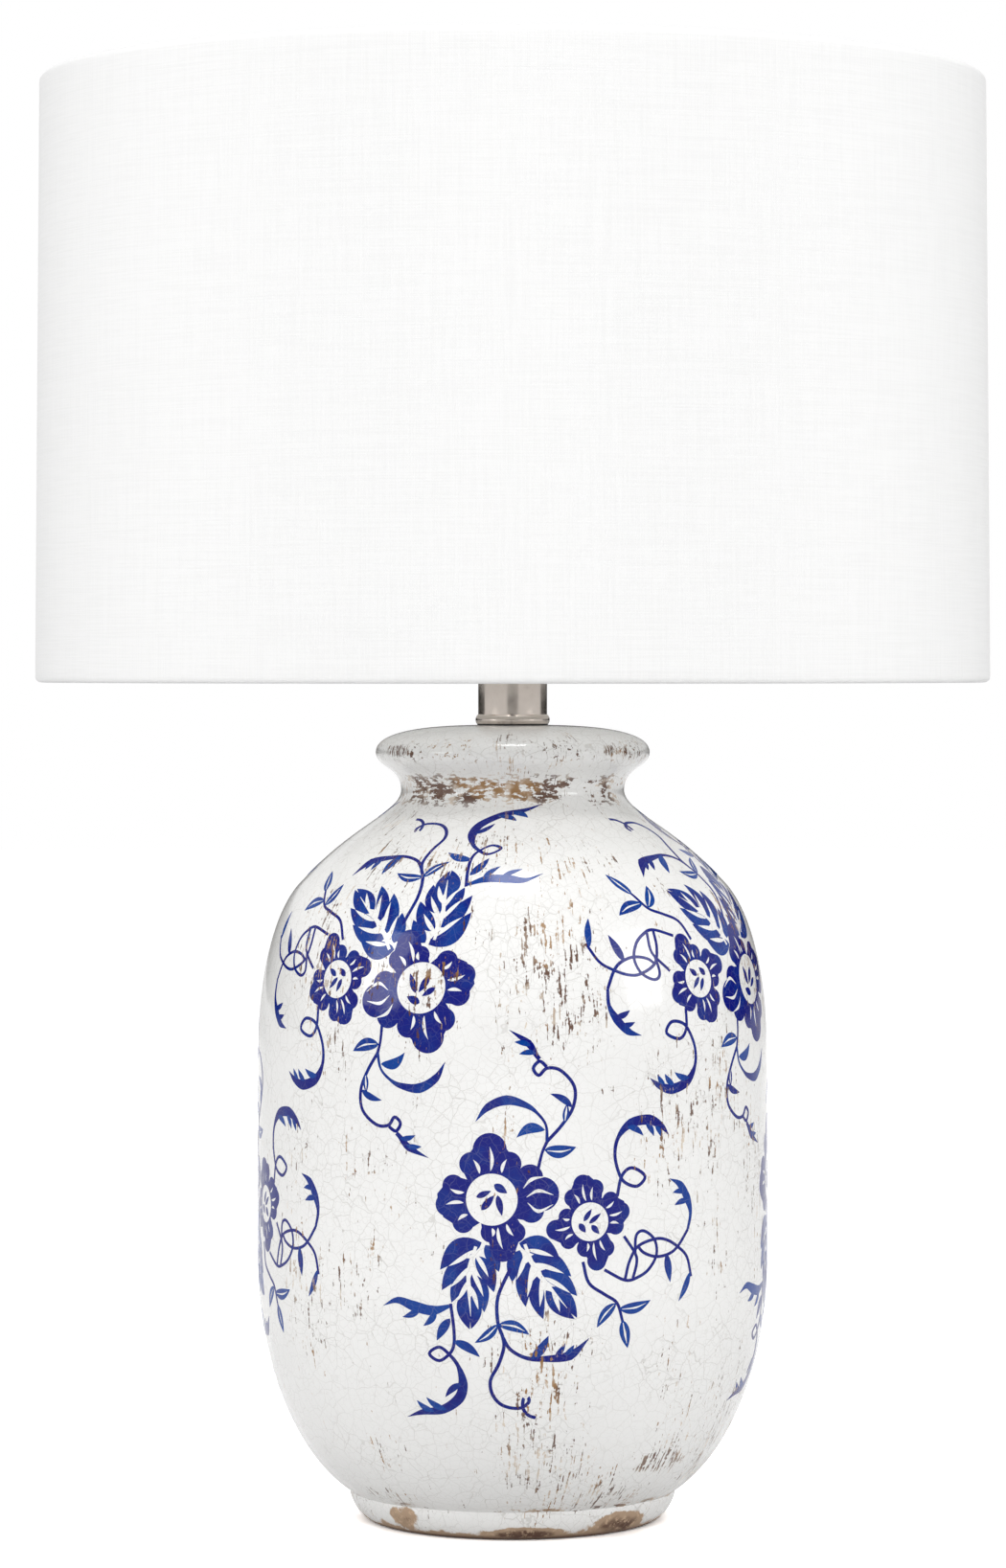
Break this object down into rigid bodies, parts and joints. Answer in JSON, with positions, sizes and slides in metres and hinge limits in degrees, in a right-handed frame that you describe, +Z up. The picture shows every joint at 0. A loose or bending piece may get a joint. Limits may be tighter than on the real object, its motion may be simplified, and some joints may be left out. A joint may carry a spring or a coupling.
{
  "type": "ginger jar lamp",
  "caption": "Table lamp: a crackle-glazed white jar with cobalt flower sprays, a nickel neck, a turn-knob socket with bulb, a detachable harp and a white drum shade.",
  "frame": {"origin": "on the table, at the centre of the foot ring, on the lamp's axis", "axes": "+Z up along the lamp; the harp lies in the XZ plane; the switch knob faces -Y, towards the viewer; the cord outlet faces +Y"},
  "size_m": [0.3955, 0.3956, 0.608],
  "materials": {
    "jar_glaze": "gloss white glaze with a fine grey crackle, worn through to stained clay in places",
    "cobalt_print": "cobalt blue flower decoration under a gloss glaze",
    "rubber": "soft black rubber",
    "zinc_steel": "bright zinc plate",
    "nickel": "polished nickel plate with a warm cast",
    "brass": "plain stamped brass",
    "card": "brown pressed card",
    "phenolic": "moulded phenolic, satin black",
    "knob_plastic": "gloss black moulding",
    "bulb_metal": "bright rolled aluminium",
    "bulb_black": "black vitrite insulator",
    "bulb_white": "glass with a soft white coating inside",
    "stem_glass": "clear glass",
    "filament": "drawn wire",
    "white_enamel": "white enamelled wire",
    "styrene": "white laminating sheet",
    "white_linen": "plain-woven white linen with fine slubs"
  },
  "bodies": {
    "base": {"jar": "jar_glaze", "cord_grommet": "rubber", "foot_gasket": "rubber", "foot_washer": "zinc_steel", "lock_washer": "zinc_steel", "pipe_nut": "zinc_steel", "lamp_pipe": "zinc_steel", "neck_gasket": "rubber", "neck": "nickel", "harp_saddle": "nickel", "socket_cap": "nickel", "cap_set_screw": "zinc_steel", "socket_shell": "nickel", "socket_liner": "card", "socket_core": "phenolic", "terminal_screws": "brass", "screw_shell": "brass", "shell_rivets": "brass", "contact_tab": "brass"},
    "switch": {"switch_shaft": "brass", "switch_knob": "knob_plastic"},
    "bulb_tip": {"bulb_contact": "zinc_steel", "bulb_insulator": "bulb_black"},
    "bulb": {"bulb_screw_base": "bulb_metal", "bulb_glass": "bulb_white", "bulb_stem": "stem_glass", "bulb_filament": "filament"},
    "harp": {"harp": "nickel"},
    "sleeve_left": {"harp_sleeve_left": "nickel"},
    "sleeve_right": {"harp_sleeve_right": "nickel"},
    "shade": {"harp_stud": "nickel", "spider_washer": "white_enamel", "spider_arms": "white_enamel", "shade_top_ring": "white_enamel", "shade_bottom_ring": "white_enamel", "shade_liner": "styrene", "shade_fabric": "white_linen"},
    "finial_core": {"finial_insert": "brass"},
    "finial": {"finial_knob": "nickel"}
  },
  "joints": [
    {"name": "switch_turn", "type": "hinge", "parent": "base", "child": "switch", "pos_m": [0, -0.017, 0.3758], "axis": [0, -1, 0], "continuous": true},
    {"name": "bulb_rise", "type": "slide", "parent": "base", "child": "bulb_tip", "axis": [0, 0, 1], "range_m": [0, 0.0146]},
    {"name": "bulb_turn", "type": "hinge", "parent": "bulb_tip", "child": "bulb", "pos_m": [0, 0, 0.4], "axis": [0, 0, 1], "range_deg": [0, 1440]},
    {"name": "harp_lift", "type": "slide", "parent": "base", "child": "harp", "axis": [0, 0, 1], "range_m": [0, 0.03]},
    {"name": "sleeve_left_slide", "type": "slide", "parent": "harp", "child": "sleeve_left", "axis": [0, 0, 1], "range_m": [0, 0.012]},
    {"name": "sleeve_right_slide", "type": "slide", "parent": "harp", "child": "sleeve_right", "axis": [0, 0, 1], "range_m": [0, 0.012]},
    {"name": "shade_swivel", "type": "hinge", "parent": "harp", "child": "shade", "pos_m": [0, 0, 0.5853], "axis": [0, 0, 1], "continuous": true},
    {"name": "finial_rise", "type": "slide", "parent": "shade", "child": "finial_core", "axis": [0, 0, 1], "range_m": [0, 0.0076]},
    {"name": "finial_turn", "type": "hinge", "parent": "finial_core", "child": "finial", "pos_m": [0, 0, 0.6], "axis": [0, 0, 1], "range_deg": [0, 2880]}
  ],
  "couplings": [
    {"joint": "bulb_rise", "follows": "bulb_turn", "m_per_rad": 0.00057773},
    {"joint": "finial_rise", "follows": "finial_turn", "m_per_rad": 0.00014972}
  ]
}
